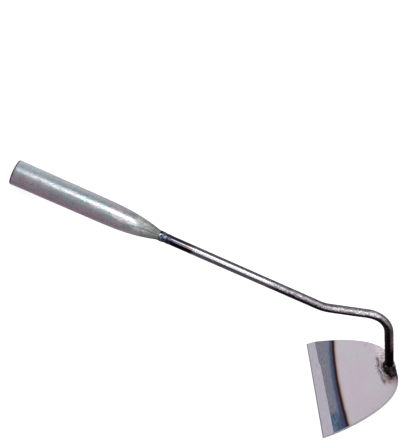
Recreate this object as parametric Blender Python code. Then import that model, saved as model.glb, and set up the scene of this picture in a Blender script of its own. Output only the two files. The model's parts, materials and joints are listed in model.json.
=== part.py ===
"""Half-moon draw hoe: a swaged steel tube, a gooseneck bar and a D-shaped blade, joined by two welds.

The tool is drawn in its own side plane, with X along the handle from its rear end towards the blade,
Y across and Z up. An empty then sets it down as it rests on a floor: on the lowest point of the
handle's rear rim and on the cutting edge, with the middle of its box over the origin.
"""

import math

import bmesh
import bpy
from mathutils import Matrix, Vector

# Handle tube
TUBE_RADIUS = 0.010
TUBE_WALL = 0.0012
HANDLE_LENGTH = 0.121
NOSE_LENGTH = 0.053
NOSE_TIP_RADIUS = 0.0047
NOSE_FULLNESS = 2.7
THROAT_DEPTH = 0.5
THROAT_LENGTH = 0.002

# Neck bar, as the centre line of a round bar with two bends
BAR_RADIUS = 0.004
BAR_TAIL = 0.020
FIRST_BEND_AT = 0.279
LIFT_ANGLE = math.radians(18.7)
LIFT_LENGTH = 0.058
DROP_ANGLE = math.radians(51.8)
DROP_LENGTH = 0.064
FIRST_BEND_RADIUS = 0.033
SECOND_BEND_RADIUS = 0.027

# Blade, measured in its own plane from the straight cutting edge to the rounded apex
BLADE_ANGLE = math.radians(50.9)
BLADE_DEPTH = 0.079
BLADE_WIDTH = 0.113
BLADE_THICKNESS = 0.002
FOOT_INSET = 0.005
DEPTH_POWER = 1.29
WIDTH_POWER = 2.9
BEVEL_LENGTH = 0.010
EDGE_THICKNESS = 0.0004

# Weld beads
HANDLE_WELD_LENGTH = 0.0105
HANDLE_WELD_RADIUS = 0.0049
BLADE_WELD_HALF_DEPTH = 0.0062
BLADE_WELD_HALF_WIDTH = 0.0095
BLADE_WELD_HEIGHT = 0.0050
RIM_MARGIN = 0.0002

# Neighbours never touch
GAP = 0.0003

# Facets
TUBE_SEGMENTS = 48
BAR_SEGMENTS = 24
WELD_SEGMENTS = 32
NOSE_STATIONS = 12
BEND_STATIONS = 7
OUTLINE_STATIONS = 14
SHARP_ANGLE = math.radians(40)


def side(x, z):
    """A point of the tool's side plane."""
    return Vector((x, 0.0, z))


# The corners of the bar's centre line, before its bends are rounded
REAR = side(0, 0)
FIRST_CORNER = side(FIRST_BEND_AT, 0)
SECOND_CORNER = FIRST_CORNER + LIFT_LENGTH * side(math.cos(LIFT_ANGLE), math.sin(LIFT_ANGLE))
BAR_DOWN = side(math.cos(DROP_ANGLE), -math.sin(DROP_ANGLE))
FOOT = SECOND_CORNER + DROP_LENGTH * BAR_DOWN

# The blade's directions: towards the cutting edge, and out of its inner face, which faces the handle
TO_EDGE = side(-math.cos(BLADE_ANGLE), -math.sin(BLADE_ANGLE))
FACE_NORMAL = side(-math.sin(BLADE_ANGLE), math.cos(BLADE_ANGLE))
EDGE_MIDDLE = FOOT + (BLADE_DEPTH - FOOT_INSET) * TO_EDGE


def fillet(before, corner, after, radius):
    """Centre, first radius vector and turning angle of the arc that rounds a corner in the side plane."""
    back = (before - corner).normalized()
    ahead = (after - corner).normalized()
    half = back.angle(ahead) / 2
    centre = corner + (back + ahead).normalized() * radius / math.sin(half)
    start = corner + back * radius / math.tan(half) - centre
    turn = math.copysign(math.pi - 2 * half, back.cross(ahead).y)
    return centre, start, -turn


def bend(before, corner, after, radius):
    """Points and directions along a rounded corner."""
    centre, start, turn = fillet(before, corner, after, radius)
    stations = []
    for i in range(BEND_STATIONS + 1):
        turned = Matrix.Rotation(turn * i / BEND_STATIONS, 3, "Y")
        stations.append((centre + turned @ start, turned @ (corner - before).normalized()))
    return stations


def new_object(name, mesh_maker, material, tool):
    """Makes a mesh object from a bmesh builder, smooth on its round sides, and hangs it on the tool."""
    bm = bmesh.new()
    mesh_maker(bm)
    bmesh.ops.recalc_face_normals(bm, faces=bm.faces)
    mesh = bpy.data.meshes.new(name)
    bm.to_mesh(mesh)
    bm.free()
    mesh.shade_smooth()
    mesh.set_sharp_from_angle(angle=SHARP_ANGLE)
    mesh.materials.append(material)
    obj = bpy.data.objects.new(name, mesh)
    bpy.context.scene.collection.objects.link(obj)
    obj.parent = tool
    return obj


def metal(name, colour, roughness, metallic=1.0):
    """A plain Principled metal."""
    material = bpy.data.materials.new(name)
    material.use_nodes = True
    shader = material.node_tree.nodes["Principled BSDF"]
    shader.inputs["Base Color"].default_value = (*colour, 1.0)
    shader.inputs["Roughness"].default_value = roughness
    shader.inputs["Metallic"].default_value = metallic
    return material


def spin_profile(bm, profile, segments):
    """Turns a closed profile of (x, radius) points about the handle's axis."""
    corners = [bm.verts.new((x, 0, -radius)) for x, radius in profile]
    edges = [bm.edges.new((a, b)) for a, b in zip(corners, corners[1:] + corners[:1])]
    bmesh.ops.spin(
        bm,
        geom=corners + edges,
        cent=(0, 0, 0),
        axis=(1, 0, 0),
        angle=2 * math.pi,
        steps=segments,
        use_merge=True,
    )


def loft(bm, rings, closed):
    """Skins a list of vertex rings. When closed, the last joins the first; otherwise both ends get a cap."""
    made = [[bm.verts.new(point) for point in ring] for ring in rings]
    count = len(made[0])
    following = made[1:] + made[:1] if closed else made[1:]
    for ring, after in zip(made, following):
        for i in range(count):
            j = (i + 1) % count
            bm.faces.new((ring[i], ring[j], after[j], after[i]))
    if not closed:
        bm.faces.new(made[0])
        bm.faces.new(made[-1])


def nose_radius(from_tip):
    """Outer radius of the tube at a distance back from the nose's tip: an ogive with a slight throat."""
    if from_tip >= NOSE_LENGTH:
        return TUBE_RADIUS
    ogive = 1 - (1 - from_tip / NOSE_LENGTH) ** NOSE_FULLNESS
    throat = 1 - THROAT_DEPTH * math.exp(-from_tip / THROAT_LENGTH)
    return NOSE_TIP_RADIUS + (TUBE_RADIUS - NOSE_TIP_RADIUS) * ogive * throat


def handle_tube(bm):
    """The tube, open at its rear, with its wall following the nose until it closes on the bar."""
    from_tip = [NOSE_LENGTH * (i / NOSE_STATIONS) ** 1.6 for i in range(NOSE_STATIONS + 1)]
    outer = [(HANDLE_LENGTH - t, nose_radius(t)) for t in from_tip]
    inner = [(x, max(radius - TUBE_WALL, BAR_RADIUS + GAP)) for x, radius in outer]
    rear = [(0, TUBE_RADIUS), (0, TUBE_RADIUS - TUBE_WALL)]
    spin_profile(bm, outer + rear + inner[::-1], TUBE_SEGMENTS)


def handle_weld(bm):
    """The low bead that fills the step from the nose to the bar."""
    start = HANDLE_LENGTH + GAP
    bore = BAR_RADIUS + GAP
    crown = HANDLE_WELD_RADIUS
    lip = (bore + crown) / 2
    profile = [
        (start, bore),
        (start, NOSE_TIP_RADIUS),
        (start + HANDLE_WELD_LENGTH * 0.35, crown),
        (start + HANDLE_WELD_LENGTH * 0.75, lip + GAP / 2),
        (start + HANDLE_WELD_LENGTH, lip - GAP / 2),
        (start + HANDLE_WELD_LENGTH, bore),
    ]
    spin_profile(bm, profile, WELD_SEGMENTS)


def neck_rod(bm):
    """The bar: straight out of the handle, up at the first bend, down at the second, mitred to the blade."""
    along = (FIRST_CORNER - REAR).normalized()
    stations = [(REAR + (HANDLE_LENGTH - BAR_TAIL) * along, along)]
    stations += bend(REAR, FIRST_CORNER, SECOND_CORNER, FIRST_BEND_RADIUS)
    stations += bend(FIRST_CORNER, SECOND_CORNER, FOOT, SECOND_BEND_RADIUS)
    across = Vector((0, 1, 0))
    rings = []
    for centre, direction in stations:
        up = direction.cross(across)
        rings.append([centre + BAR_RADIUS * spoke for spoke in spokes(across, up, BAR_SEGMENTS)])
    up = BAR_DOWN.cross(across)
    foot_ring = [FOOT + BAR_RADIUS * spoke for spoke in spokes(across, up, BAR_SEGMENTS)]
    rings.append([onto_blade(point, GAP) for point in foot_ring])
    loft(bm, rings, closed=False)


def spokes(first, second, count):
    """Unit vectors round a circle whose plane holds two perpendicular unit vectors."""
    turns = [2 * math.pi * i / count for i in range(count)]
    return [math.cos(turn) * first + math.sin(turn) * second for turn in turns]


def onto_blade(point, height):
    """Slides a point along the bar's lower end until it is at a height above the blade's inner face."""
    above = (point - FOOT).dot(FACE_NORMAL)
    return point + BAR_DOWN * (above - height) / -BAR_DOWN.dot(FACE_NORMAL)


def half_width(depth):
    """Half the blade's width at a depth back from the cutting edge, a superellipse."""
    share = min(max(depth / BLADE_DEPTH, 0.0), 1.0)
    return BLADE_WIDTH / 2 * (1 - share**DEPTH_POWER) ** (1 / WIDTH_POWER)


def blade_outline():
    """Outline points (depth, width) from one end of the cutting edge round the apex to the other."""
    turns = [math.pi / 2 * i / OUTLINE_STATIONS for i in range(OUTLINE_STATIONS + 1)]
    depths = [BLADE_DEPTH * math.sin(turn) ** (2 / DEPTH_POWER) for turn in turns]
    widths = [BLADE_WIDTH / 2 * max(math.cos(turn), 0.0) ** (2 / WIDTH_POWER) for turn in turns[:-1]]
    right = list(zip(depths, widths))
    return right + [(BLADE_DEPTH, 0.0)] + [(depth, -width) for depth, width in right[::-1]]


def on_blade(depth, width, height):
    """A point by its depth from the cutting edge, its place across, and its height above the outer face."""
    inner = EDGE_MIDDLE - depth * TO_EDGE + Vector((0, width, 0))
    return inner + (height - BLADE_THICKNESS) * FACE_NORMAL


def hoe_blade(bm):
    """The plate, with the long bevel ground into its inner face."""
    outline = blade_outline()
    loft(bm, [[on_blade(d, w, h) for d, w in outline] for h in (0, BLADE_THICKNESS)], closed=False)
    heel = on_blade(BEVEL_LENGTH, 0, BLADE_THICKNESS)
    toe = on_blade(0, 0, EDGE_THICKNESS)
    bevel_normal = (heel - toe).cross(Vector((0, 1, 0))).normalized()
    if bevel_normal.dot(FACE_NORMAL) < 0:
        bevel_normal.negate()
    cut = bmesh.ops.bisect_plane(
        bm,
        geom=bm.verts[:] + bm.edges[:] + bm.faces[:],
        plane_co=toe,
        plane_no=bevel_normal,
        clear_outer=True,
    )
    rim = [item for item in cut["geom_cut"] if isinstance(item, bmesh.types.BMEdge)]
    bmesh.ops.contextual_create(bm, geom=rim)


def rim_distance(direction):
    """Distance from the foot to the blade's outline along a direction in the blade's plane."""
    depth_step = -direction.dot(TO_EDGE)
    width_step = direction.y
    near, far = 0.0, BLADE_WIDTH
    for _ in range(40):
        middle = (near + far) / 2
        depth = BLADE_DEPTH - FOOT_INSET + middle * depth_step
        inside = depth < BLADE_DEPTH and abs(middle * width_step) < half_width(depth)
        near, far = (middle, far) if inside else (near, middle)
    return near


def weld_reach(direction):
    """Distance from the foot to the weld's edge: an ellipse, cut short where the blade's rim is nearer."""
    along = direction.dot(TO_EDGE) / BLADE_WELD_HALF_DEPTH
    across = direction.y / BLADE_WELD_HALF_WIDTH
    return min(1 / math.hypot(along, across), rim_distance(direction) - RIM_MARGIN)


def blade_weld(bm):
    """The fillet round the bar's foot, widest across the blade."""
    across = Vector((0, 1, 0))
    up = BAR_DOWN.cross(across)
    bore = BAR_RADIUS + GAP
    rings = []
    for spoke in spokes(across, up, WELD_SEGMENTS):
        reach = weld_reach(spoke)
        shoulder = bore + (reach - bore) * 0.55
        foot_inner = onto_blade(FOOT + bore * spoke, GAP)
        foot_outer = onto_blade(FOOT + reach * spoke, GAP)
        toe = onto_blade(FOOT + reach * spoke, GAP + BLADE_WELD_HEIGHT * 0.15)
        crest = onto_blade(FOOT + shoulder * spoke, GAP + BLADE_WELD_HEIGHT * 0.65)
        top = onto_blade(FOOT + (bore + GAP) * spoke, GAP + BLADE_WELD_HEIGHT)
        top_inner = onto_blade(FOOT + bore * spoke, GAP + BLADE_WELD_HEIGHT)
        rings.append([foot_inner, foot_outer, toe, crest, top, top_inner])
    loft(bm, rings, closed=True)


def resting_place():
    """Turns the tool nose up until the rear rim and the cutting edge share the floor."""
    rim = side(0, -TUBE_RADIUS)
    edge = on_blade(0, 0, 0)
    reach = edge - rim
    tilt = Matrix.Rotation(math.atan2(reach.z, reach.x), 4, "Y")
    floor = (tilt @ rim).z
    return Matrix.Translation((0, 0, -floor)) @ tilt


def main():
    for old in list(bpy.data.objects):
        bpy.data.objects.remove(old, do_unlink=True)

    zinc = metal("galvanised_tube", (0.58, 0.61, 0.63), 0.38)
    bar_steel = metal("bar_steel", (0.42, 0.40, 0.42), 0.30)
    blade_steel = metal("blade_steel", (0.62, 0.59, 0.63), 0.34)
    nose_bead = metal("handle_weld_metal", (0.20, 0.21, 0.25), 0.45)
    foot_bead = metal("blade_weld_metal", (0.05, 0.05, 0.055), 0.55)

    tool = bpy.data.objects.new("tool_axes", None)
    bpy.context.scene.collection.objects.link(tool)
    parts = [
        new_object("handle_tube", handle_tube, zinc, tool),
        new_object("handle_weld", handle_weld, nose_bead, tool),
        new_object("neck_rod", neck_rod, bar_steel, tool),
        new_object("hoe_blade", hoe_blade, blade_steel, tool),
        new_object("blade_weld", blade_weld, foot_bead, tool),
    ]

    placed = resting_place()
    lengths = [(placed @ v.co).x for part in parts for v in part.data.vertices]
    middle = (min(lengths) + max(lengths)) / 2
    tool.matrix_world = Matrix.Translation((-middle, 0, 0)) @ placed
    bpy.context.view_layer.update()


main()
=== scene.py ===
"""The looks of the half-moon draw hoe: its fine surfaces, its materials, and a pale studio round it.

Every piece is drawn in the tool's own axes (X along the handle, Y across, Z up in the side plane) and
then set where the frame has it. Lengths are in metres; the "place" attribute that the materials read is
in millimetres, in each piece's own straightened axes, and so is "rim", the distance from the blade's
curved outline.
"""

import json
import math

import bmesh
import bpy
from mathutils import Matrix, Vector, noise


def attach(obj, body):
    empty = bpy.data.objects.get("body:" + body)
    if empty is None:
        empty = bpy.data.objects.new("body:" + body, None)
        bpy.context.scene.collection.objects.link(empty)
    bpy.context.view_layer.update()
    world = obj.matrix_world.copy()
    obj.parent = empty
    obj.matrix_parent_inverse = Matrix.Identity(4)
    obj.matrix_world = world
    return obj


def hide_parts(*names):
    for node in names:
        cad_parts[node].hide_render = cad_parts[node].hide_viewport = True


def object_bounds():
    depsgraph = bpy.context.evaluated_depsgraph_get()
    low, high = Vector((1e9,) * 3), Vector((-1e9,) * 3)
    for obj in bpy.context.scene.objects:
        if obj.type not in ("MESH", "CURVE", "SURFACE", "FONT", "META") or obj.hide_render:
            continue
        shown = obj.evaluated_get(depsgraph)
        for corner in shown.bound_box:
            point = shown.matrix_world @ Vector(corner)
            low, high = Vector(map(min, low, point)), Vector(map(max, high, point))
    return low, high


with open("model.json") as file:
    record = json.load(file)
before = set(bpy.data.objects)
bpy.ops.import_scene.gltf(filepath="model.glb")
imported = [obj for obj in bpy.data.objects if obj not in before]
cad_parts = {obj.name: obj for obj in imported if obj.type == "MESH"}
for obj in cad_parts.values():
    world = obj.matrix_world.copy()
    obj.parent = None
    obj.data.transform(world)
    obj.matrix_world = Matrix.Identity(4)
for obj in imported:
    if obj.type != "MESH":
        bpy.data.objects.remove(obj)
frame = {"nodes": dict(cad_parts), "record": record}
cad_low, cad_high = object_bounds()

MM = 0.001

# The bar's centre line, as the frame draws it
FIRST_BEND_AT = 0.279
LIFT_ANGLE = math.radians(18.7)
LIFT_LENGTH = 0.058
DROP_ANGLE = math.radians(51.8)
DROP_LENGTH = 0.064
FIRST_BEND_RADIUS = 0.033
SECOND_BEND_RADIUS = 0.027

# The handle's nose
TUBE_WALL = 0.0012
NOSE_LENGTH = 0.053
NOSE_TIP_RADIUS = 0.00425
NOSE_FULLNESS = 2.7
THROAT_DEPTH = 0.5
THROAT_LENGTH = 0.002

# The blade
BLADE_ANGLE = math.radians(50.9)
BLADE_DEPTH = 0.079
BLADE_THICKNESS = 0.002
FOOT_INSET = 0.005
FOOT_DEPTH = BLADE_DEPTH - FOOT_INSET
DEPTH_POWER = 1.29
WIDTH_POWER = 2.9
BEVEL_LENGTH = 0.0100
EDGE_THICKNESS = 0.0004

# The camera, by the place it looks at from the middle of the box
TARGET_OFFSET = Vector((-0.0432, 0.0190, 0.0072))
VIEW_DISTANCE = 0.4064
VIEW_AZIMUTH = math.radians(-19.60)
VIEW_ELEVATION = math.radians(25.82)
VIEW_ROLL = math.radians(45.57)
LENS = 38.76


# ---- the tool's axes


def tool_axes():
    """The matrix from the tool's own axes to the frame: from the square-cut rear end of the handle."""
    rim = next(m for m in frame["record"]["mounts"] if m["name"] == "handle_rear_rim")
    along = -Vector(rim["axis"]).normalized()
    across = Vector((0, 1, 0))
    up = along.cross(across)
    place = Matrix((along, across, up)).transposed().to_4x4()
    place.translation = Vector((rim["pos_m"][0], 0, rim["pos_m"][2]))
    return place


TOOL = tool_axes()


def tool_box(node):
    """Lowest and highest corner of a CAD node in the tool's axes."""
    back = TOOL.inverted()
    points = [back @ v.co for v in frame["nodes"][node].data.vertices]
    low = Vector([min(p[i] for p in points) for i in range(3)])
    high = Vector([max(p[i] for p in points) for i in range(3)])
    return low, high


TUBE_RADIUS = tool_box("handle_tube")[1].y
HANDLE_LENGTH = tool_box("handle_tube")[1].x
BAR_RADIUS = tool_box("neck_rod")[1].y
BAR_TAIL = HANDLE_LENGTH - tool_box("neck_rod")[0].x
BLADE_WIDTH = 2 * tool_box("hoe_blade")[1].y


def side(x, z):
    return Vector((x, 0.0, z))


FIRST_CORNER = side(FIRST_BEND_AT, 0)
SECOND_CORNER = FIRST_CORNER + LIFT_LENGTH * side(math.cos(LIFT_ANGLE), math.sin(LIFT_ANGLE))
BAR_DOWN = side(math.cos(DROP_ANGLE), -math.sin(DROP_ANGLE))
FOOT = SECOND_CORNER + DROP_LENGTH * BAR_DOWN
TO_EDGE = side(-math.cos(BLADE_ANGLE), -math.sin(BLADE_ANGLE))
FACE_NORMAL = side(-math.sin(BLADE_ANGLE), math.cos(BLADE_ANGLE))
EDGE_MIDDLE = FOOT + FOOT_DEPTH * TO_EDGE


# ---- meshes


def smooth_step(low, high, value):
    share = min(max((value - low) / (high - low), 0.0), 1.0)
    return share * share * (3 - 2 * share)


def lumps(point, size, seed):
    """Smooth noise from -1 to 1, with lumps of about the given size, in metres."""
    return noise.noise(point / size + Vector((seed, seed * 1.7, seed * 0.3)))


def turns(count):
    return [2 * math.pi * i / count for i in range(count)]


def axis_point(x, radius, turn):
    """A point round the handle's axis. Its turn starts at the top and goes towards +Y."""
    return Vector((x, radius * math.sin(turn), radius * math.cos(turn)))


def axis_place(x, radius, turn):
    """The same point in mm, for the materials."""
    return (x / MM, radius * math.sin(turn) / MM, radius * math.cos(turn) / MM)


def add_object(name, data):
    obj = bpy.data.objects.new(name, data)
    bpy.context.scene.collection.objects.link(obj)
    return obj


class Surface:
    """Collects points with their places and faces, then makes one object of them."""

    def __init__(self):
        self.points = []
        self.places = []
        self.rims = []
        self.faces = []

    def add(self, point, place, rim=0.0):
        self.points.append(point)
        self.places.append(place)
        self.rims.append(rim)
        return len(self.points) - 1

    def skin(self, rows, around=True):
        """Joins rows of point numbers into quads; around closes each row on itself."""
        for row, after in zip(rows, rows[1:]):
            last = len(row) if around else len(row) - 1
            for i in range(last):
                j = (i + 1) % len(row)
                self.faces.append((row[i], row[j], after[j], after[i]))

    def close_ends(self, rows):
        self.faces += [tuple(rows[0]), tuple(rows[-1])]

    def object(self, name, material, node, sharp=40):
        """One object that replaces a CAD node; edges sharper than the given degrees stay sharp."""
        mesh = bpy.data.meshes.new(name)
        mesh.from_pydata([TOOL @ p for p in self.points], [], self.faces)
        place = mesh.attributes.new("place", "FLOAT_VECTOR", "POINT")
        place.data.foreach_set("vector", [x for q in self.places for x in q])
        rim = mesh.attributes.new("rim", "FLOAT", "POINT")
        rim.data.foreach_set("value", self.rims)
        bm = bmesh.new()
        bm.from_mesh(mesh)
        bmesh.ops.recalc_face_normals(bm, faces=bm.faces)
        bm.to_mesh(mesh)
        bm.free()
        mesh.shade_smooth()
        mesh.set_sharp_from_angle(angle=math.radians(sharp))
        mesh.materials.append(material)
        obj = add_object(name, mesh)
        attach(obj, "root")
        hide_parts(node)
        return obj


# ---- handle tube

TUBE_AROUND = 160
TUBE_BODY_STEPS = 34
NOSE_STEPS = 60
NOSE_CROWDING = 1.35
DENT_DEPTH = 0.00005
BORE_CHAMFER_LENGTH = 0.0004
BORE_CHAMFER_RISE = 0.0002
BORE_CLEARANCE = 0.00005

# How far the cut rim is rounded off, by the distance from the rear end
RIM_ROUNDING = {0.0: 0.00045, 0.00012: 0.00025, 0.0003: 0.00010, 0.0006: 0.00002}
RIM_LENGTH = max(RIM_ROUNDING)

# The nose's relief: each crease by its turn and its depth, then the flats between them; depths in mm
CREASES = [(0.35, 0.30), (1.10, 0.20), (1.95, 0.28), (2.70, 0.22)]
CREASES += [(3.50, 0.32), (4.25, 0.24), (5.05, 0.34), (5.75, 0.22)]
CREASE_HALF_TURN = 0.11
CREASES_START = (0.0, 0.005)
CREASES_END = (0.010, 0.030)
FLATS_DEPTH = 0.16
HAMMERED_DEPTH = 0.10


def nose_radius(from_tip):
    """Outer radius of the tube at a distance back from the nose's tip: an ogive with a slight throat."""
    if from_tip >= NOSE_LENGTH:
        return TUBE_RADIUS
    ogive = 1 - (1 - max(from_tip, 0) / NOSE_LENGTH) ** NOSE_FULLNESS
    throat = 1 - THROAT_DEPTH * math.exp(-max(from_tip, 0) / THROAT_LENGTH)
    return NOSE_TIP_RADIUS + (TUBE_RADIUS - NOSE_TIP_RADIUS) * ogive * throat


def crease_depth(from_tip, turn):
    """How deep the swaging has folded the nose here: creases running into the joint, between flats."""
    rise = smooth_step(*CREASES_START, from_tip)
    fade = 1 - smooth_step(*CREASES_END, from_tip)
    total = 0.0
    for place, depth in CREASES:
        drift = 0.08 * math.sin(from_tip * 150 + place * 5)
        away = (turn - place - drift + math.pi) % (2 * math.pi) - math.pi
        total += depth * math.exp(-((away / CREASE_HALF_TURN) ** 2))
    flats = FLATS_DEPTH * (1 - math.cos(len(CREASES) * turn + 0.8)) / 2
    hammered = HAMMERED_DEPTH * (1 + lumps(axis_point(from_tip, 0.008, turn), 0.0045, 6.2))
    return (total + flats + hammered) * rise * fade * MM


def dent_depth(x, turn):
    """Shallow dents all over the tube, but for its cut rim."""
    dent = DENT_DEPTH * (1 + lumps(axis_point(x, 0.01, turn), 0.012, 3.1))
    return dent * smooth_step(0.0, 0.004, x)


def outer_stations():
    """Distances of the outer rings from the rear end, close together at the rim and at the tip."""
    stations = list(RIM_ROUNDING)
    body = HANDLE_LENGTH - NOSE_LENGTH - RIM_LENGTH
    stations += [RIM_LENGTH + body * (i + 1) / TUBE_BODY_STEPS for i in range(TUBE_BODY_STEPS)]
    for i in range(NOSE_STEPS):
        from_tip = NOSE_LENGTH * (1 - (i + 1) / NOSE_STEPS) ** NOSE_CROWDING
        stations.append(HANDLE_LENGTH - from_tip)
    return stations


def bore_stations(outer):
    """Distances of the bore's rings from the rear end, the nose first."""
    between = [x for x in outer[::-3] if RIM_LENGTH < x < HANDLE_LENGTH - MM]
    return [HANDLE_LENGTH - BORE_CHAMFER_LENGTH] + between + [BORE_CHAMFER_LENGTH, 0.0]


def handle_tube(material):
    surface = Surface()
    stations = outer_stations()
    outer = []
    for x in stations:
        from_tip = HANDLE_LENGTH - x
        radius = nose_radius(from_tip) - RIM_ROUNDING.get(x, 0.0)
        ring = []
        for turn in turns(TUBE_AROUND):
            worn_radius = radius - crease_depth(from_tip, turn) - dent_depth(x, turn)
            ring.append(surface.add(axis_point(x, worn_radius, turn), axis_place(x, radius, turn)))
        outer.append(ring)
    inner = []
    for x in bore_stations(stations):
        radius = max(nose_radius(HANDLE_LENGTH - x) - TUBE_WALL, BAR_RADIUS + BORE_CLEARANCE)
        if x == 0.0:
            radius += BORE_CHAMFER_RISE
        ring = []
        for turn in turns(TUBE_AROUND):
            ring.append(surface.add(axis_point(x, radius, turn), axis_place(x, radius, turn)))
        inner.append(ring)
    surface.skin(outer + inner + outer[:1])
    return surface.object("tube_shell", material, "handle_tube")


# ---- neck bar

BAR_AROUND = 72
BAR_STEP = 0.0008
LAST_BAR_STEP = 0.0015
FOOT_GAP = 0.00002
BEND_FLATTENING = 0.030
DRAWN_RELIEF = 0.00003
SCALE_RELIEF = 0.00007
SCALE_ROUGHENS = (0.205, 0.245)


def bend(before, corner, after, radius):
    """Centre, start and turning angle of the arc that rounds a corner of the centre line."""
    back = (before - corner).normalized()
    ahead = (after - corner).normalized()
    half = back.angle(ahead) / 2
    centre = corner + (back + ahead).normalized() * radius / math.sin(half)
    start = corner + back * radius / math.tan(half)
    turn = -math.copysign(math.pi - 2 * half, back.cross(ahead).y)
    return centre, start, turn


def bar_line():
    """Stations along the bar: centre, direction, and how strongly the bar is bent there (0 to 1)."""
    stations = []

    def straight(start, end):
        count = max(1, round((end - start).length / BAR_STEP))
        for i in range(count):
            stations.append((start.lerp(end, i / count), (end - start).normalized(), 0.0))

    def arc(before, corner, after, radius):
        centre, start, turn = bend(before, corner, after, radius)
        count = max(4, round(abs(turn) * radius / BAR_STEP))
        for i in range(count):
            turned = Matrix.Rotation(turn * i / count, 3, "Y")
            direction = turned @ (corner - before).normalized()
            bent = math.sin(math.pi * i / count)
            stations.append((centre + turned @ (start - centre), direction, bent))
        return centre + Matrix.Rotation(turn, 3, "Y") @ (start - centre)

    first = (side(0, 0), FIRST_CORNER, SECOND_CORNER, FIRST_BEND_RADIUS)
    second = (FIRST_CORNER, SECOND_CORNER, FOOT, SECOND_BEND_RADIUS)
    straight(side(HANDLE_LENGTH - BAR_TAIL, 0), bend(*first)[1])
    first_end = arc(*first)
    straight(first_end, bend(*second)[1])
    second_end = arc(*second)
    straight(second_end, FOOT - BAR_DOWN * LAST_BAR_STEP)
    return stations


def onto_blade(point, height):
    """Slides a point along the bar's lower end until it is at a height above the blade's inner face."""
    above = (point - FOOT).dot(FACE_NORMAL)
    return point + BAR_DOWN * (above - height) / -BAR_DOWN.dot(FACE_NORMAL)


def bar_radius(place, turn, bent):
    """Radius of the bar with its drawn skin, the scale towards its foot, and its flattened bends."""
    rough = smooth_step(*SCALE_ROUGHENS, place.x)
    relief = DRAWN_RELIEF * lumps(place, 0.006, 1.3) + SCALE_RELIEF * rough * lumps(place, 0.0035, 7.7)
    flat = 1 - BEND_FLATTENING * bent * math.cos(turn) ** 2
    return BAR_RADIUS * flat - DRAWN_RELIEF - DRAWN_RELIEF * rough + relief


def neck_rod(material):
    surface = Surface()
    across = Vector((0, 1, 0))
    rows = []
    run = HANDLE_LENGTH - BAR_TAIL
    line = bar_line()
    previous = line[0][0]
    for centre, direction, bent in line:
        run += (centre - previous).length
        previous = centre
        up = direction.cross(across)
        ring = []
        for turn in turns(BAR_AROUND):
            place = axis_point(run, BAR_RADIUS, turn)
            radius = bar_radius(place, turn, bent)
            point = centre + radius * (math.sin(turn) * across + math.cos(turn) * up)
            ring.append(surface.add(point, place / MM))
        rows.append(ring)
    up = BAR_DOWN.cross(across)
    ring = []
    for turn in turns(BAR_AROUND):
        spoke = math.sin(turn) * across + math.cos(turn) * up
        point = onto_blade(FOOT + BAR_RADIUS * spoke, FOOT_GAP)
        ring.append(surface.add(point, axis_place(run + LAST_BAR_STEP, BAR_RADIUS, turn)))
    rows.append(ring)
    surface.skin(rows)
    surface.close_ends(rows)
    return surface.object("bar_steel", material, "neck_rod")


# ---- weld at the nose

NOSE_BEAD_OVERLAP = 0.0012
NOSE_BEAD_LENGTH = 0.0112
NOSE_BEAD_STEPS = 64
NOSE_BEAD_AROUND = 96
NOSE_BEAD_WANDER = 0.0006
NOSE_BEAD_ROOT = 0.0003


def nose_bead_height(share, turn, x):
    """How far the bead stands over the bar: a lumpy collar, a groove, and a thin last ring."""
    collar = smooth_step(0.0, 0.10, share) * (1 - smooth_step(0.46, 0.60, share))
    ring = math.exp(-(((share - 0.84) / 0.075) ** 2))
    ripple = 0.5 + 0.5 * math.sin(turn * 8 + 5 * share + 1.5 * math.sin(turn * 2))
    knots = lumps(axis_point(x, 0.0043, turn), 0.0016, 2.2)
    height = collar * (0.00022 + 0.00012 * ripple + 0.00020 * knots) + ring * (0.00013 + 0.00008 * knots)
    return height + 0.00004


def handle_weld(material):
    """The bead that closes the nose on the bar, uneven and almost flush with the bar."""
    surface = Surface()
    rows = []
    for i in range(NOSE_BEAD_STEPS + 1):
        share = i / NOSE_BEAD_STEPS
        ring = []
        for turn in turns(NOSE_BEAD_AROUND):
            wander = NOSE_BEAD_WANDER * lumps(axis_point(0, 0.004, turn), 0.003, 5.0)
            x = HANDLE_LENGTH - NOSE_BEAD_OVERLAP + NOSE_BEAD_LENGTH * share + wander * share
            radius = BAR_RADIUS - 0.00002 + nose_bead_height(share, turn, x)
            if i in (0, NOSE_BEAD_STEPS):
                radius = BAR_RADIUS - NOSE_BEAD_ROOT
            ring.append(surface.add(axis_point(x, radius, turn), axis_place(x, radius, turn)))
        rows.append(ring)
    surface.skin(rows + rows[:1])
    return surface.object("handle_weld_bead", material, "handle_weld", sharp=75)


# ---- weld at the blade

WELD_AROUND = 168
WELD_PROFILE = 30
WELD_HALF_DEPTH = 0.0056
WELD_RIGHT_HALF_WIDTH = 0.0118
WELD_LEFT_HALF_WIDTH = 0.0078
WELD_HEAP = 0.0044
WELD_CREST = 0.0036
WELD_CORE = 0.0030
WELD_OVERHANG = 0.0005
WELD_SPILL = 0.0013
WELD_SPILLS_WITHIN = 0.0012
WELD_TOE = 0.0003
WELD_SUNK = 0.0001

SPATTER_DROPS = 22
GOLDEN_ANGLE = 2.399
SPATTER_MARGIN = 0.001


def half_width(depth):
    share = min(max(depth / BLADE_DEPTH, 0.0), 1.0)
    return BLADE_WIDTH / 2 * (1 - share**DEPTH_POWER) ** (1 / WIDTH_POWER)


def rim_distance(depth_step, width_step):
    """Distance from the foot to the blade's outline, going one way in the blade's plane."""
    near, far = 0.0, BLADE_WIDTH
    for _ in range(30):
        middle = (near + far) / 2
        depth = FOOT_DEPTH + middle * depth_step
        inside = depth < BLADE_DEPTH and abs(middle * width_step) < half_width(depth)
        near, far = (middle, far) if inside else (near, middle)
    return near


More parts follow.
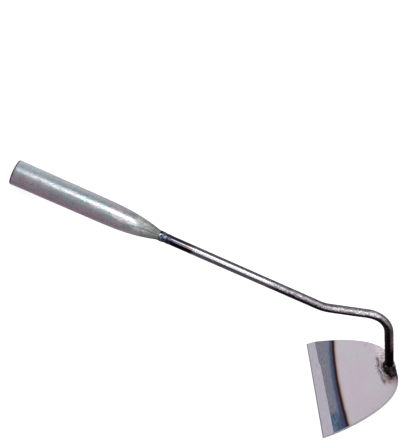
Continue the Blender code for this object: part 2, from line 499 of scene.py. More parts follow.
def weld_point(depth_step, width_step, out, height):
    """A point by its direction and distance from the foot in the blade's plane, and its height above it."""
    lean = -BAR_DOWN - FACE_NORMAL * -BAR_DOWN.dot(FACE_NORMAL)
    flat = FOOT - TO_EDGE * depth_step * out + Vector((0, width_step * out, 0))
    return flat + FACE_NORMAL * height + lean * height


def weld_place(point):
    local = point - FOOT
    return (-local.dot(TO_EDGE) / MM, local.y / MM, local.dot(FACE_NORMAL) / MM)


def weld_reach(depth_step, width_step, turn):
    """How far the bead would reach this way on an endless plate: a wobbly, lopsided oval."""
    half = WELD_RIGHT_HALF_WIDTH if width_step < 0 else WELD_LEFT_HALF_WIDTH
    oval = 1 / math.hypot(depth_step / WELD_HALF_DEPTH, width_step / half)
    wobble = 1 + 0.07 * math.sin(turn * 11 + 2 * math.sin(turn * 3)) + 0.05 * math.sin(turn * 5 + 1.0)
    return oval * wobble


def weld_section(turn):
    """The bead's section one way from the foot: from its toe, over its lumpy back, down beside the bar."""
    depth_step, width_step = math.cos(turn), math.sin(turn)
    wanted = weld_reach(depth_step, width_step, turn)
    room = rim_distance(depth_step, width_step)
    reach = min(wanted, room + WELD_OVERHANG)
    low = -WELD_SUNK - WELD_SPILL * smooth_step(room - WELD_SPILLS_WITHIN, room, wanted)
    heap = WELD_HEAP + 0.0007 * math.sin(turn * 2 + 0.4) + 0.0005 * math.sin(turn * 7 + 1.1)
    points = [weld_point(depth_step, width_step, min(reach, room) - WELD_TOE, low)]
    for i in range(WELD_PROFILE + 1):
        bow = math.pi / 2 * i / WELD_PROFILE
        out = WELD_CREST + (reach - WELD_CREST) * math.cos(bow) ** 0.9
        height = low * math.cos(bow) ** 6 + heap * math.sin(bow) ** 1.15
        point = weld_point(depth_step, width_step, out, height)
        strength = math.sin(min(bow * 2.2, math.pi / 2)) * (1 - (i / WELD_PROFILE) ** 6)
        knots = 0.00050 * lumps(point, 0.0021, 4.4) + 0.00026 * lumps(point, 0.0009, 9.1)
        ripple = 0.00018 * math.sin(turn * 26 + 5 * math.sin(turn) + bow * 2)
        away = FACE_NORMAL * math.sin(bow) - TO_EDGE * depth_step * math.cos(bow)
        away = (away + Vector((0, width_step * math.cos(bow), 0))).normalized()
        points.append(point + away * (knots + ripple) * strength)
    points.append(weld_point(depth_step, width_step, WELD_CORE, heap))
    points.append(weld_point(depth_step, width_step, WELD_CORE, -WELD_SUNK))
    return points


def drop(surface, centre, size):
    """A flattened droplet of spatter, sunk a little into the blade's face."""
    rows = []
    steps, around = 6, 12
    for i in range(steps):
        tilt = math.pi * (i + 0.5) / steps
        lift = FACE_NORMAL * size * 0.7 * (math.cos(tilt) + 0.35)
        ring = []
        for turn in turns(around):
            flat = TO_EDGE * math.cos(turn) + Vector((0, math.sin(turn), 0))
            ring.append(centre + flat * size * math.sin(tilt) + lift)
        rows.append([surface.add(point, weld_place(point)) for point in ring])
    surface.skin(rows)
    surface.close_ends(rows)


def spatter(surface):
    """Droplets scattered round the bead by the golden angle, wherever there is plate."""
    for i in range(SPATTER_DROPS):
        angle = GOLDEN_ANGLE * i + 0.6
        out = 0.0085 + 0.0065 * ((i * 0.618) % 1.0)
        size = 0.00018 + 0.00030 * ((i * 0.414) % 1.0)
        depth = FOOT_DEPTH + out * math.cos(angle)
        beyond_back = depth > BLADE_DEPTH - SPATTER_MARGIN
        if beyond_back or abs(out * math.sin(angle)) > half_width(depth) - SPATTER_MARGIN:
            continue
        drop(surface, weld_point(math.cos(angle), math.sin(angle), out, 0.0), size)


def blade_weld(material):
    """The lumpy black bead round the bar's foot, heaped up on its two sides, with a little spatter."""
    surface = Surface()
    rows = []
    for turn in turns(WELD_AROUND):
        rows.append([surface.add(point, weld_place(point)) for point in weld_section(turn)])
    surface.skin(rows + rows[:1])
    spatter(surface)
    return surface.object("blade_weld_bead", material, "blade_weld", sharp=75)


# ---- blade

BLADE_ROWS = 72
BLADE_COLUMNS = 96
LAST_ROW = 0.992  # of the way to where the outline closes
EDGE_WEAR = 0.00018
OUTER_FACE_MARK = -1.0


def blade_point(depth, width, height):
    inner = EDGE_MIDDLE - depth * TO_EDGE + Vector((0, width, 0))
    return inner + (height - BLADE_THICKNESS) * FACE_NORMAL


def bevel_length(width):
    """The ground bevel's length, a little shorter towards the left end, with a hand-held wander."""
    share = width / (BLADE_WIDTH / 2)
    return BEVEL_LENGTH * (1.03 - 0.16 * smooth_step(0.1, 1.0, share) + 0.012 * math.sin(share * 9))


def face_height(depth, width):
    """Height of the inner face over the flat outer one: thin at the edge, full behind the bevel."""
    ground = EDGE_THICKNESS + (BLADE_THICKNESS - EDGE_THICKNESS) * depth / bevel_length(width)
    return min(ground, BLADE_THICKNESS)


def blade_rows():
    """Depth and half width of each row, close together where the outline turns fastest."""
    rows = []
    for i in range(BLADE_ROWS + 1):
        turn = math.pi / 2 * i / BLADE_ROWS * LAST_ROW
        depth = BLADE_DEPTH * math.sin(turn) ** (2 / DEPTH_POWER)
        half = BLADE_WIDTH / 2 * math.cos(turn) ** (2 / WIDTH_POWER)
        rows.append((depth, half))
    return rows


def outline_distance(depth, width):
    """Roughly how far a point of the blade is from its curved outline, in metres."""
    deep = max(depth, 0.0) / BLADE_DEPTH
    wide = abs(width) / (BLADE_WIDTH / 2)
    level = deep**DEPTH_POWER + wide**WIDTH_POWER
    slope_deep = DEPTH_POWER * max(deep, 0.02) ** (DEPTH_POWER - 1) / BLADE_DEPTH
    slope_wide = WIDTH_POWER * max(wide, 0.02) ** (WIDTH_POWER - 1) / (BLADE_WIDTH / 2)
    return (1 - level) / math.hypot(slope_deep, slope_wide)


def boundary(rows):
    """The point numbers round the outside of a sheet of rows."""
    left = [row[0] for row in rows]
    right = [row[-1] for row in rows]
    return left + rows[-1][1:-1] + right[::-1] + rows[0][1:-1][::-1]


def hoe_blade(material):
    surface = Surface()
    top, bottom = [], []
    for depth, half in blade_rows():
        for rows, upper in ((top, True), (bottom, False)):
            row = []
            for j in range(BLADE_COLUMNS + 1):
                width = half * math.sin(math.pi / 2 * (2 * j / BLADE_COLUMNS - 1))
                height = face_height(depth, width) if upper else 0.0
                place = (depth / MM, width / MM, height / MM if upper else OUTER_FACE_MARK)
                rim = outline_distance(depth, width) / MM
                row.append(surface.add(blade_point(depth, width, height), place, rim))
            rows.append(row)
    surface.skin(top, around=False)
    surface.skin(bottom, around=False)
    surface.skin([boundary(top), boundary(bottom)])
    obj = surface.object("blade_plate", material, "hoe_blade", sharp=30)
    bevel = obj.modifiers.new("worn_edges", "BEVEL")
    bevel.width = EDGE_WEAR
    bevel.segments = 2
    bevel.limit_method = "ANGLE"
    bevel.angle_limit = math.radians(50)
    bevel.use_clamp_overlap = True
    return obj


# ---- shader nodes


def srgb(red, green, blue):
    """A colour given as 0 to 255 screen values, as the linear values that shaders take."""
    out = []
    for value in (red, green, blue):
        share = value / 255
        out.append(share / 12.92 if share <= 0.04045 else ((share + 0.055) / 1.055) ** 2.4)
    return (*out, 1.0)


class Nodes:
    """Short names for the node set-ups that the materials and the world share."""

    def __init__(self, tree):
        self.tree = tree

    def link(self, value, socket):
        if isinstance(value, bpy.types.NodeSocket):
            self.tree.links.new(value, socket)
        else:
            socket.default_value = value

    def node(self, kind, inputs, **settings):
        """A new node with its settings, and with values or other nodes' outputs at its inputs."""
        node = self.tree.nodes.new("ShaderNode" + kind)
        for name, value in settings.items():
            setattr(node, name, value)
        for key, value in inputs.items():
            self.link(value, node.inputs[key])
        return node

    def split(self, vector):
        return tuple(self.node("SeparateXYZ", {0: vector}).outputs)

    def facing(self, direction, towards):
        node = self.node("VectorMath", {0: direction, 1: towards}, operation="DOT_PRODUCT")
        return node.outputs["Value"]

    def spread(self, value, low, high, to_low=0.0, to_high=1.0, curve="SMOOTHSTEP"):
        """Maps low to high smoothly onto to_low to to_high; a value beyond either stays at that end."""
        inputs = {"Value": value, "From Min": low, "From Max": high, "To Min": to_low, "To Max": to_high}
        return self.node("MapRange", inputs, interpolation_type=curve).outputs["Result"]

    def mix(self, share, first, second, blend="MIX"):
        inputs = {0: share, 6: first, 7: second}
        return self.node("Mix", inputs, data_type="RGBA", blend_type=blend).outputs[2]

    def coat(self, colour, top, *spread):
        """A colour with another laid over it, as thickly as the spread of a value says."""
        return self.mix(self.spread(*spread), colour, top)


class Paint(Nodes):
    """One material, with more short names for what its colours and relief are made of."""

    def __init__(self, name):
        self.material = bpy.data.materials.new(name)
        self.material.use_nodes = True
        super().__init__(self.material.node_tree)

    def attribute(self, name, output="Fac"):
        return self.node("Attribute", {}, attribute_name=name).outputs[output]

    def place(self):
        return self.attribute("place", "Vector")

    def scaled(self, vector, scale, shift=(0, 0, 0)):
        return self.node("Mapping", {"Vector": vector, "Scale": scale, "Location": shift}).outputs[0]

    def noise(self, vector, scale, detail, roughness, distortion=0.0):
        inputs = {"Vector": vector, "Scale": scale, "Detail": detail, "Roughness": roughness}
        return self.node("TexNoise", {**inputs, "Distortion": distortion}).outputs["Fac"]

    def cells(self, vector, scale):
        """One grey for each cell of a Voronoi pattern."""
        node = self.node("TexVoronoi", {"Vector": vector, "Scale": scale})
        return self.split(node.outputs["Color"])[0]

    def math(self, operation, *values):
        return self.node("Math", dict(enumerate(values)), operation=operation).outputs[0]

    def plus(self, first, second):
        return self.math("ADD", first, second)

    def minus(self, first, second):
        return self.math("SUBTRACT", first, second)

    def times(self, first, second):
        return self.math("MULTIPLY", first, second)

    def length(self, first, second):
        return self.math("SQRT", self.math("MULTIPLY_ADD", first, first, self.times(second, second)))

    def wander(self, value, field, amount):
        """The value, moved up and down by a noise field, by half the amount at most."""
        return self.plus(value, self.math("MULTIPLY_ADD", field, amount, -amount / 2))

    def near(self, value, middle, full, none, most=1.0):
        """The most within the distance full of the middle, falling to 0 at the distance none."""
        return self.spread(self.math("ABSOLUTE", self.minus(value, middle)), full, none, most, 0.0)

    def ramp(self, value, low, high, stops):
        """Colours by value: stops are (value, colour) pairs between low and high."""
        node = self.node("ValToRGB", {0: self.spread(value, low, high, curve="LINEAR")})
        elements = node.color_ramp.elements
        while len(elements) < len(stops):
            elements.new(0.5)
        for element, (at, colour) in zip(elements, stops):
            element.position = (at - low) / (high - low)
            element.color = colour
        return node.outputs["Color"]

    def bump(self, height, strength, distance, **under):
        """Relief from a height; under may name the Normal of a coarser relief that it lies on."""
        inputs = {"Height": height, "Strength": strength, "Distance": distance, **under}
        return self.node("Bump", inputs).outputs["Normal"]

    def dress(self, looks):
        """Gives the shader its values, by the names of its inputs."""
        for name, value in looks.items():
            self.link(value, self.tree.nodes["Principled BSDF"].inputs[name])
        return self.material

    def finish(self, colour, roughness, metallic, normal):
        looks = {"Base Color": colour, "Roughness": roughness, "Metallic": metallic, "Normal": normal}
        return self.dress(looks)


# ---- the handle's zinc

# Where the zinc changes, in mm from the handle's rear end: (from, to)
# The first span is the rounded cut rim, darkened as painted shade
CUT_RIM_SHADE = (0.5, 1.5)
PAINTED_REFLECTION_FADES = (66.0, 92.0)
ZINC_FADES = (93.0, 107.0)
NOSE_DULLS = (97.5, 101.0)
TIP_DARKENS = (106.0, 119.0)

# Painted reflection: the zinc is tinted pinkish below and teal above, like a reflected floor and sky
PAINTED_REFLECTION_BELOW = (1.04, 0.91, 1.03, 1.0)
PAINTED_REFLECTION_ABOVE = (0.88, 0.96, 0.97, 1.0)


def sound_zinc(paint, place, clouds, streaks, grain):
    """The zinc of the straight tube: soft grey with faint blotches, drawn streaks, spangle and specks."""
    blotches = paint.noise(paint.scaled(place, (0.7, 1.0, 1.0), (31, 7, 3)), 0.22, 4.0, 0.6)
    spangle = paint.cells(paint.scaled(place, (0.55, 0.8, 0.8)), 0.8)
    specks = paint.noise(paint.scaled(place, (0.7, 1.0, 1.0), (5, 9, 2)), 0.85, 2.0, 0.5)
    colour = paint.coat(srgb(170, 177, 179), srgb(186, 176, 182), clouds, 0.35, 0.65)
    colour = paint.coat(colour, srgb(180, 156, 164), blotches, 0.50, 0.60, 0, 0.75)
    colour = paint.coat(colour, srgb(150, 168, 168), blotches, 0.48, 0.38, 0, 0.75)
    colour = paint.coat(colour, srgb(196, 198, 202), streaks, 0.45, 0.75, 0, 0.5)
    colour = paint.mix(paint.times(spangle, 0.20), colour, srgb(136, 142, 150))
    colour = paint.coat(colour, srgb(124, 126, 132), grain, 0.55, 0.8, 0, 0.4)
    colour = paint.coat(colour, srgb(112, 116, 120), specks, 0.61, 0.71, 0, 0.6)
    return paint.coat(colour, srgb(206, 208, 208), specks, 0.40, 0.30, 0, 0.4)


def zinc():
    """Galvanised steel: blotchy zinc, tinted by height as a painted reflection, with painted shade on the
    cut rim at one end and a scuffed nose at the other.
    """
    paint = Paint("galvanised_zinc")
    place = paint.place()
    along, _, height = paint.split(place)
    clouds = paint.noise(place, 0.10, 3.0, 0.5)
    streaks = paint.noise(paint.scaled(place, (0.06, 0.9, 0.9)), 1.0, 4.0, 0.6)
    grain = paint.noise(place, 1.5, 5.0, 0.65)
    colour = sound_zinc(paint, place, clouds, streaks, grain)
    # painted reflection: pinkish underside, teal top, fading towards the nose
    painted_reflection = paint.coat(PAINTED_REFLECTION_BELOW, PAINTED_REFLECTION_ABOVE, height, -4.0, 6.0)
    colour = paint.mix(paint.spread(along, *PAINTED_REFLECTION_FADES, 1.0, 0.15), colour, painted_reflection, "MULTIPLY")

    worked = paint.wander(along, paint.noise(place, 0.35, 3.0, 0.6), 8.0)
    fading = paint.spread(worked, *ZINC_FADES)
    scuffs = paint.noise(paint.scaled(place, (0.45, 1.1, 1.1)), 0.7, 6.0, 0.7)
    scuffed = paint.coat(srgb(106, 108, 107), srgb(140, 142, 141), scuffs, 0.38, 0.66)
    colour = paint.mix(fading, colour, scuffed)
    colour = paint.coat(colour, srgb(84, 86, 86), along, *TIP_DARKENS, 0.0, 0.75)
    # painted shade on the rounded cut rim
    colour = paint.coat(colour, srgb(58, 62, 66), along, *CUT_RIM_SHADE, 1.0, 0.0)

    roughness = paint.spread(clouds, 0.3, 0.7, 0.30, 0.36)
    roughness = paint.plus(roughness, paint.spread(worked, *NOSE_DULLS, 0, 0.24))
    roughness = paint.plus(roughness, paint.times(grain, 0.05))
    metallic = paint.spread(fading, 0.0, 1.0, 0.88, 0.62)
    relief = paint.plus(paint.times(grain, 0.6), paint.times(streaks, 0.5))
    dents = paint.noise(paint.scaled(place, (0.6, 1.0, 1.0)), 0.42, 4.0, 0.6)
    normal = paint.bump(relief, 0.12, 0.0001, Normal=paint.bump(dents, 0.3, 0.0005))
    return paint.finish(colour, roughness, metallic, normal)


# ---- the bar's steel

# Where the bar changes, in mm along it from the handle's rear end: (from, to)
TEMPER_ENDS = (149, 154)
SHINE_ENDS = (144, 152)
SCALE_STARTS = (214, 236)
DULL_STARTS = (250, 262)
DULL_ENDS = (280, 290)
BEND_STARTS = (280, 292)
BEND_ENDS = (324, 334)
BROWN_STARTS = (342, 356)
BURNT_STARTS = (363, 374)


def bright_steel(paint, height, lines, pits):
    """The untouched bar: drawn lines, a painted highlight as a paler stripe below its top, painted shade on
    its top, and a few dark pits.
    """
    colour = paint.coat(srgb(118, 114, 120), srgb(156, 152, 160), lines, 0.35, 0.7)
    # painted highlight: a paler stripe below the top
    colour = paint.coat(colour, srgb(188, 184, 192), height, 0.6, 1.4, 0, 0.4)
    # painted shade on the top
    colour = paint.coat(colour, srgb(116, 112, 118), height, 2.2, 3.0, 0, 0.5)
    return paint.coat(colour, srgb(52, 48, 54), pits, 0.60, 0.74, 0, 0.6)


def bend_scale(paint, along, height, mottle):
    """Mottled scale: dull just before the bends, with bright flecks in them partly as painted highlight,
    painted shade on top, and nearly black below as painted shade.
    """
    colour = paint.ramp(mottle, 0.34, 0.66, [
        (0.34, srgb(44, 40, 44)),
        (0.43, srgb(80, 74, 80)),
        (0.51, srgb(126, 120, 127)),
        (0.66, srgb(176, 171, 178)),
    ])
    dull = paint.times(paint.spread(along, *DULL_STARTS), paint.spread(along, *DULL_ENDS, 0.20, 0.0))
    colour = paint.mix(dull, colour, srgb(52, 48, 52))
    # bright flecks in the bends: cracked scale, lightened in part as painted highlight
    flecks = paint.coat(srgb(124, 119, 123), srgb(214, 209, 213), mottle, 0.42, 0.57)
    bent = paint.times(paint.spread(along, *BEND_STARTS), paint.spread(along, *BEND_ENDS, 0.45, 0.0))
    colour = paint.mix(bent, colour, flecks)
    # painted shade on the top
    colour = paint.coat(colour, srgb(104, 100, 104), height, 2.0, 3.0, 0.0, 0.5)
    # painted shade: nearly black on the underside
    return paint.coat(colour, srgb(16, 12, 15), height, 1.6, 0.0, 0.0, 0.94)


def bar_tempering(paint, heat, height):
    """The weld's heat colours by place along the bar: dark blue, grey, brown, then pale. Black below, as
    painted shade.
    """
    colour = paint.ramp(heat, 126, 156, [
        (126, srgb(52, 52, 68)),
        (133, srgb(86, 83, 96)),
        (141, srgb(87, 83, 93)),
        (145, srgb(98, 86, 86)),
        (148.5, srgb(122, 110, 108)),
        (151.5, srgb(132, 122, 120)),
        (156, srgb(134, 130, 136)),
    ])
    # painted shade: nearly black on the underside
    return paint.coat(colour, srgb(13, 10, 16), height, 2.2, 1.0, 0.0, 0.93)


def bar_metal():
    """Drawn bar: tempered next to the nose, then bright, scaly in the bends, and burnt at its foot."""
    paint = Paint("bar_scale_and_steel")
    place = paint.place()
    along, _, height = paint.split(place)
    heat = paint.wander(along, paint.noise(place, 0.30, 4.0, 0.6), 5.0)
    lines = paint.noise(paint.scaled(place, (0.08, 2.0, 2.0)), 1.0, 5.0, 0.6)
    pits = paint.noise(paint.scaled(place, (0.30, 1.0, 1.0)), 0.8, 5.0, 0.7)
    mottle = paint.noise(paint.scaled(place, (0.50, 1.0, 1.0)), 0.70, 6.0, 0.72, 0.4)
    scaly = paint.spread(paint.wander(along, pits, 24.0), *SCALE_STARTS)
    scale = bend_scale(paint, along, height, mottle)
    steel = paint.mix(scaly, bright_steel(paint, height, lines, pits), scale)
    colour = paint.coat(bar_tempering(paint, heat, height), steel, heat, *TEMPER_ENDS)
    brown = paint.coat(srgb(158, 112, 116), srgb(92, 66, 72), pits, 0.42, 0.62)
    # painted shade: the brown darkens to near black on the underside
    brown = paint.coat(brown, srgb(18, 12, 14), height, 1.5, -0.8)
    colour = paint.coat(colour, brown, heat, *BROWN_STARTS, 0, 0.8)
    burnt = paint.spread(heat, *BURNT_STARTS)
    colour = paint.mix(burnt, colour, srgb(8, 6, 9))

    roughness = paint.spread(lines, 0.3, 0.7, 0.25, 0.31)
    roughness = paint.times(roughness, paint.spread(heat, *SHINE_ENDS, 0.48, 1.0))
    roughness = paint.plus(roughness, paint.times(scaly, 0.18))
    roughness = paint.plus(roughness, paint.times(burnt, 0.15))
    relief = paint.math("MULTIPLY_ADD", lines, 0.12, paint.times(mottle, scaly))
    return paint.finish(colour, roughness, 1.0, paint.bump(relief, 0.4, 0.00015))


# ---- the weld metals

GROOVE_STARTS = (125.6, 127.0)


def nose_bead():
    """Blue-grey weld metal with a few pale bare patches, their palest tone a painted glint, darker from its
    groove on towards the bar.
    """
    paint = Paint("nose_weld_metal")
    place = paint.place()
    along = paint.split(place)[0]
    blots = paint.noise(place, 0.55, 5.0, 0.65, 0.3)
    # the palest stops are bare metal lightened as painted glints
    colour = paint.ramp(blots, 0.36, 0.70, [
        (0.36, srgb(18, 20, 28)),
        (0.47, srgb(60, 66, 84)),
        (0.56, srgb(112, 120, 142)),
        (0.66, srgb(190, 194, 204)),
    ])
    colour = paint.coat(colour, srgb(50, 48, 60), along, *GROOVE_STARTS, 0, 0.7)
    normal = paint.bump(paint.noise(place, 1.8, 5.0, 0.6), 0.5, 0.0002)
    return paint.finish(colour, 0.32, 1.0, normal)


def foot_bead():
    """Black, sooty weld metal with blue-grey and grey-green bare spots pale as painted glints, and a bare
    patch at the back lightened as a painted highlight.
    """
    paint = Paint("foot_weld_metal")
    place = paint.place()
    inward, width, _ = paint.split(place)
    blots = paint.noise(place, 0.5, 5.0, 0.7, 0.5)
    tone = paint.math("MULTIPLY_ADD", paint.noise(place, 0.25, 2.0, 0.5), 6.0, paint.times(inward, 0.8))
    # bare spots, pale as painted glints
    bare = paint.coat(srgb(84, 92, 92), srgb(138, 136, 156), tone, 1.6, 4.4)
    colour = paint.coat(srgb(6, 6, 9), bare, blots, 0.49, 0.66)
    # painted highlight: a pale lavender patch where the bead faces the light, partly bare metal
    patch = paint.times(paint.near(width, -0.9, 2.0, 3.6), paint.spread(inward, 1.0, 2.6))
    patch = paint.times(patch, paint.spread(blots, 0.38, 0.52))
    colour = paint.mix(patch, colour, srgb(138, 137, 158))
    right = paint.wander(width, blots, 6.0)
    colour = paint.coat(colour, srgb(32, 22, 28), right, -3.5, -6.5, 0, 0.85)
    roughness = paint.spread(blots, 0.4, 0.7, 0.46, 0.26)
    normal = paint.bump(paint.noise(place, 1.6, 6.0, 0.65), 0.6, 0.0003)
    return paint.finish(colour, roughness, 0.9, normal)


# ---- the blade's steel

# The hardened band's far line, in mm: its depth in the middle, and its slope and bow across the width
BAND_DEPTH = 24.4
BAND_SLOPE = 0.045
BAND_BOW = 0.00102
# Its bluer right end, by the place across the width
BAND_END = (-42, -32)

# The middles of the heat rings, in mm from the foot of the bar
BROWN_RING = 9.3
PALE_RING = 7.8
DARK_LINE = 7.1
INNER_RING = 6.6


def plain_plate(paint, plane, brushed):
    """The untouched part of the plate: satin grey with faint warm and cool clouds and a few smudges."""
    clouds = paint.noise(plane, 0.035, 3.0, 0.5)
    colour = paint.coat(srgb(188, 184, 188), srgb(190, 177, 186), clouds, 0.35, 0.65)
    colour = paint.coat(colour, srgb(170, 164, 172), brushed, 0.4, 0.8, 0, 0.45)
    smudges = paint.noise(paint.scaled(plane, (1.0, 0.7, 1.0), (11, 4, 0)), 0.12, 4.0, 0.6)
    return paint.coat(colour, srgb(150, 150, 158), smudges, 0.60, 0.74, 0, 0.35)


def past_band(paint, plane, depth, width):
    """How far a place lies behind the hardened band's far line, in mm."""
    bow = paint.times(paint.times(width, width), BAND_BOW)
    slope = paint.math("MULTIPLY_ADD", width, BAND_SLOPE, BAND_DEPTH)
    line = paint.wander(paint.plus(slope, bow), paint.noise(plane, 0.10, 3.0, 0.5), 1.0)
    return paint.minus(depth, line)


def tempered_band(paint, plane, past, width):
    """The hardened strip: grey to dark blue, a brown-black line, then straw."""
    patches = paint.noise(paint.scaled(plane, (0.8, 0.35, 1.0)), 0.35, 4.0, 0.6)
    cloudy = paint.wander(past, patches, 4.0)
    fine = paint.noise(paint.scaled(plane, (1.2, 0.25, 1.0)), 0.9, 5.0, 0.62)
    grey = paint.coat(srgb(108, 108, 120), srgb(134, 132, 142), fine, 0.35, 0.7)
    teal = paint.coat(srgb(66, 84, 108), srgb(92, 112, 132), patches, 0.40, 0.62)
    right_end = paint.spread(paint.wander(width, patches, 16.0), *BAND_END, 1.0, 0.0)
    band = paint.mix(right_end, grey, teal)
    blue = paint.ramp(cloudy, -9, -1, [
        (-8.6, srgb(116, 121, 135)),
        (-5.8, srgb(104, 114, 134)),
        (-4.3, srgb(76, 82, 104)),
        (-2.6, srgb(68, 68, 88)),
        (-1.0, srgb(56, 48, 62)),
    ])
    blue = paint.mix(paint.times(right_end, 0.75), blue, srgb(50, 66, 92))
    colour = paint.coat(band, blue, cloudy, -8.5, -5.5)
    line = paint.ramp(past, -2.4, 5, [
        (-2.4, srgb(56, 50, 64)),
        (-1.5, srgb(38, 28, 36)),
        (-0.6, srgb(36, 24, 30)),
        (0.2, srgb(84, 62, 56)),
        (1.1, srgb(160, 138, 128)),
        (2.1, srgb(184, 166, 160)),
        (5.0, srgb(186, 178, 184)),
    ])
    return paint.coat(colour, line, past, -2.6, -1.4)


def outer_rings(paint, colour, ragged, reach, smoke, rays):
    """The halo's broad brown ring, and the thin dark line inside it."""
    ring = paint.times(paint.near(ragged, BROWN_RING, 0.5, 2.9), reach)
    ring = paint.times(ring, paint.spread(smoke, 0.38, 0.56, 0.50, 0.95))
    colour = paint.mix(ring, colour, srgb(96, 80, 86))
    line = paint.near(ragged, DARK_LINE, 0.1, 0.8, 0.8)
    line = paint.times(paint.times(line, reach), paint.spread(rays, 0.36, 0.5))
    return paint.mix(line, colour, srgb(84, 68, 72))


def heat_smear(paint, colour, out, width, smoke):
    """A brown smear across the plate, between the weld and the cutting edge."""
    away = paint.length(paint.times(paint.plus(out, 5.6), 0.62), paint.times(paint.minus(width, 5.0), 0.17))
    away = paint.wander(away, smoke, 1.0)
    return paint.coat(colour, srgb(122, 102, 106), away, 0.2, 1.2, 0.7, 0.0)


def inner_rings(paint, colour, ragged, reach, smoke):
    """The halo's pale ring, and the brown one between it and the weld."""
    pale = paint.times(paint.near(ragged, PALE_RING, 0.2, 1.0, 0.45), reach)
    colour = paint.mix(pale, colour, srgb(206, 190, 190))
    inner = paint.times(paint.near(ragged, INNER_RING, 0.5, 1.6), reach)
    inner = paint.times(inner, paint.spread(smoke, 0.35, 0.6, 0.3, 0.85))
    return paint.mix(inner, colour, srgb(104, 82, 80))


def bare_patch(paint, colour, out, width, rays):
    """Streaky bare metal to the left of the weld."""
    bare = paint.spread(paint.minus(width, out), 9.0, 17.0)
    bare = paint.times(bare, paint.spread(out, -9.0, -4.0, 0.0, 0.7))
    streaked = paint.coat(srgb(222, 210, 210), srgb(150, 132, 132), rays, 0.50, 0.62)
    return paint.mix(bare, colour, streaked)


def scorch(paint, colour, out, width, rays):
    """A scorched spot to the right of the weld, dark brown in a paler border."""
    away = paint.length(paint.times(paint.plus(out, 2.6), 0.9), paint.times(paint.plus(width, 12.5), 0.95))
    away = paint.wander(away, rays, 6.0)
    colour = paint.coat(colour, srgb(152, 132, 120), away, 2.6, 6.2, 0.75, 0.0)
    return paint.coat(colour, srgb(64, 48, 44), away, 0.6, 3.4, 0.85, 0.0)


def soot(paint, colour, out, width, rays):
    """Soot close round the weld, and a dark strip on the plate's rim behind it."""
    close = paint.length(out, paint.times(paint.plus(width, 2.0), 0.60))
    colour = paint.coat(colour, srgb(24, 18, 20), paint.wander(close, rays, 3.0), 5.2, 7.4, 0.92, 0.0)
    dark_rim_strip = paint.spread(paint.attribute("rim"), 0.9, 1.7, 0.9, 0.0)
    dark_rim_strip = paint.times(dark_rim_strip, paint.near(width, -8.0, 6.0, 9.0))
    return paint.mix(dark_rim_strip, colour, srgb(26, 18, 22))


def weld_heat(paint, plane, depth, width, colour):
    """Heat colours and soot round the foot of the bar, laid over the plate's colour."""
    out = paint.minus(depth, FOOT_DEPTH / MM)
    aside = paint.times(paint.plus(width, 3.0), 0.35)
    haze = paint.noise(plane, 0.16, 2.0, 0.5)
    rays = paint.noise(paint.scaled(plane, (0.16, 0.9, 1.0)), 1.0, 4.0, 0.6)
    smoke = paint.noise(paint.scaled(plane, (0.9, 0.5, 1.0), (3, 2, 0)), 0.45, 3.0, 0.5)
    ragged = paint.wander(paint.length(out, aside), haze, 3.0)
    reach = paint.near(width, -1.0, 13.0, 20.0)
    colour = outer_rings(paint, colour, ragged, reach, smoke, rays)
    colour = heat_smear(paint, colour, out, width, smoke)
    colour = inner_rings(paint, colour, ragged, reach, smoke)
    colour = bare_patch(paint, colour, out, width, rays)
    colour = scorch(paint, colour, out, width, rays)
    return soot(paint, colour, out, width, rays)


def blade_metal():
    """Brushed plate: a bright ground bevel, a hardened blue band behind it, a heat halo at the weld, and
    painted shade along the cutting edge and the outline.
    """
    paint = Paint("blade_plate_steel")
    place = paint.place()
    depth, width, height = paint.split(place)
    plane = paint.scaled(place, (1, 1, 0))
    brushed = paint.noise(paint.scaled(plane, (0.25, 2.4, 1)), 1.0, 4.0, 0.6)
    past = past_band(paint, plane, depth, width)
    colour = tempered_band(paint, plane, past, width)
    colour = paint.coat(colour, plain_plate(paint, plane, brushed), past, 1.8, 4.2)
    heated = weld_heat(paint, plane, depth, width, colour)
    colour = paint.coat(colour, heated, height, 0.3, 1.7, 0.4, 1.0)

    ground_lines = paint.noise(paint.scaled(plane, (1.9, 0.14, 1)), 0.8, 4.0, 0.6)
    ground = paint.coat(srgb(166, 160, 168), srgb(186, 182, 192), ground_lines, 0.3, 0.72)
    # painted shade: the ground bevel darkens along the cutting edge
    ground = paint.coat(ground, srgb(104, 106, 106), depth, 0.6, 1.4, 0.85, 0.0)
    thinned = paint.math("LESS_THAN", height, BLADE_THICKNESS / MM - 0.015)
    bevel = paint.times(thinned, paint.math("GREATER_THAN", height, OUTER_FACE_MARK / 2))
    colour = paint.mix(bevel, colour, ground)
    rim = paint.attribute("rim")
    # painted shade: a thin darker line along the curved outline
    colour = paint.coat(colour, srgb(120, 120, 122), rim, 0.3, 0.9, 0.35, 0.0)

    roughness = paint.spread(brushed, 0.3, 0.7, 0.30, 0.38)
    metallic = paint.spread(rim, 0.02, 0.25, 0.62, 1.0)
    normal = paint.bump(paint.mix(bevel, brushed, ground_lines), 0.12, 0.00008)
    return paint.finish(colour, roughness, metallic, normal)


# ---- studio

FLOOR_RADIUS = 40.0
FLOOR_GREY = (0.28, 0.28, 0.28, 1.0)
FLOOR_GLOW = 0.82

ROOM_BELOW = (0.235, 0.185, 0.215, 1.0)
ROOM_ABOVE = (0.175, 0.21, 0.222, 1.0)
# Paler parts of the room: where each lies, its reach as two cosines, and its colour
WALLS = (
    ((-1.0, 0.0, 0.0), 0.50, 0.76, (0.50, 0.50, 0.52, 1.0)),
    ((0.05, 0.72, -0.69), 0.55, 0.85, (0.38, 0.35, 0.37, 1.0)),
    ((0.70, 0.0, -0.71), 0.86, 0.96, (0.48, 0.47, 0.49, 1.0)),
    ((-0.74, 0.64, 0.20), 0.58, 0.80, (1.03, 1.03, 1.07, 1.0)),
)
ROOM_FILL = (1.45, 1.45, 1.45, 1.0)


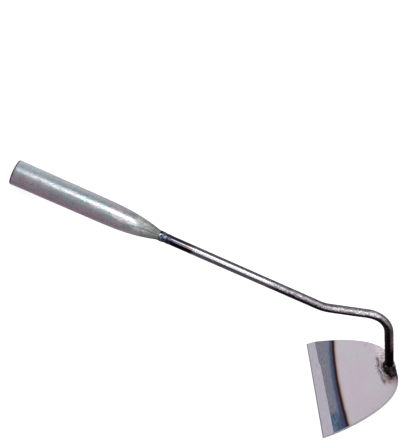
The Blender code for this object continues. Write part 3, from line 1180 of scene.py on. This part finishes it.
def floor():
    """A floor that glows a little and that the metal doesn't reflect."""
    mesh = bpy.data.meshes.new("studio_floor")
    bm = bmesh.new()
    bmesh.ops.create_circle(bm, cap_ends=True, segments=64, radius=FLOOR_RADIUS)
    bm.to_mesh(mesh)
    bm.free()
    mesh.materials.append(Paint("floor_white").dress({
        "Base Color": FLOOR_GREY,
        "Emission Color": (1.0, 1.0, 1.0, 1.0),
        "Emission Strength": FLOOR_GLOW,
        "Roughness": 0.9,
        "Specular IOR Level": 0.0,
    }))
    obj = add_object("studio_floor", mesh)
    obj.visible_glossy = False
    return obj


def studio_world():
    """A pale room: white to look at, and in reflections cool above, warm below, with paler walls."""
    world = bpy.data.worlds.new("studio")
    bpy.context.scene.world = world
    world.use_nodes = True
    nodes = Nodes(world.node_tree)
    direction = nodes.node("TexCoord", {}).outputs["Generated"]
    room = nodes.coat(ROOM_BELOW, ROOM_ABOVE, nodes.split(direction)[2], -0.3, 0.4)
    for towards, low, high, colour in WALLS:
        room = nodes.coat(room, colour, nodes.facing(direction, towards), low, high)
    glossy = nodes.node("LightPath", {}).outputs["Is Glossy Ray"]
    seen = nodes.mix(glossy, ROOM_FILL, room)
    nodes.link(seen, nodes.tree.nodes["Background"].inputs["Color"])


def softbox(name, along, angle, length, height, radiance, unlit):
    """A rectangular light beside the tool, by its place along the handle and its angle round it.

    The angle is in degrees, up from the horizontal side that faces the camera. A flag keeps its light
    off the unlit objects.
    """
    turn = math.radians(angle)
    data = bpy.data.lights.new(name, "AREA")
    data.shape = "RECTANGLE"
    data.size = length
    data.size_y = height
    data.energy = radiance * math.pi * length * height
    light = add_object(name, data)
    back = side(0, math.sin(turn)) + Vector((0, -math.cos(turn), 0))
    right = side(1, 0)
    turned = Matrix((right, back.cross(right), back)).transposed().to_4x4()
    turned.translation = side(along, 0) + back
    light.matrix_world = TOOL @ turned
    light.visible_camera = False
    flag = bpy.data.collections.new(name + "_flag")
    for obj in unlit:
        flag.objects.link(obj)
    for member in flag.collection_objects:
        member.light_linking.link_state = "EXCLUDE"
    light.light_linking.receiver_collection = flag


def camera(target):
    """A camera round the target by azimuth and elevation, then rolled about its own axis."""
    data = bpy.data.cameras.new("camera")
    data.lens = LENS
    data.sensor_width = 36
    data.clip_end = 200
    obj = add_object("camera", data)
    away = Vector((math.sin(VIEW_AZIMUTH), -math.cos(VIEW_AZIMUTH), 0)) * math.cos(VIEW_ELEVATION)
    back = away + Vector((0, 0, math.sin(VIEW_ELEVATION)))
    right = Vector((0, 0, 1)).cross(back).normalized()
    up = back.cross(right)
    turned = Matrix((right, up, back)).transposed() @ Matrix.Rotation(VIEW_ROLL, 3, "Z")
    obj.matrix_world = Matrix.Translation(target + back * VIEW_DISTANCE) @ turned.to_4x4()
    bpy.context.scene.camera = obj


def studio(tube, others):
    """Floor, room, camera and lights. The tube and the other pieces have a key light each."""
    ground = floor()
    studio_world()
    camera((cad_low + cad_high) / 2 + TARGET_OFFSET)
    softbox("key_softbox", along=0.58, angle=62.5, length=1.04, height=0.48, radiance=8.0,
            unlit=[ground, tube])
    softbox("tube_softbox", along=0.52, angle=62.5, length=1.08, height=0.40, radiance=7.4,
            unlit=[ground, *others])
    softbox("rear_softbox", along=-0.35, angle=76, length=0.70, height=0.40, radiance=0.75, unlit=[ground])
    softbox("front_softbox", along=0.66, angle=24, length=0.74, height=0.30, radiance=4.5, unlit=[ground])
    softbox("top_softbox", along=0.95, angle=96, length=0.60, height=0.50, radiance=1.6, unlit=[ground])
    bpy.context.scene.view_settings.view_transform = "Standard"


tube = handle_tube(zinc())
others = [
    neck_rod(bar_metal()),
    handle_weld(nose_bead()),
    hoe_blade(blade_metal()),
    blade_weld(foot_bead()),
]
studio(tube, others)
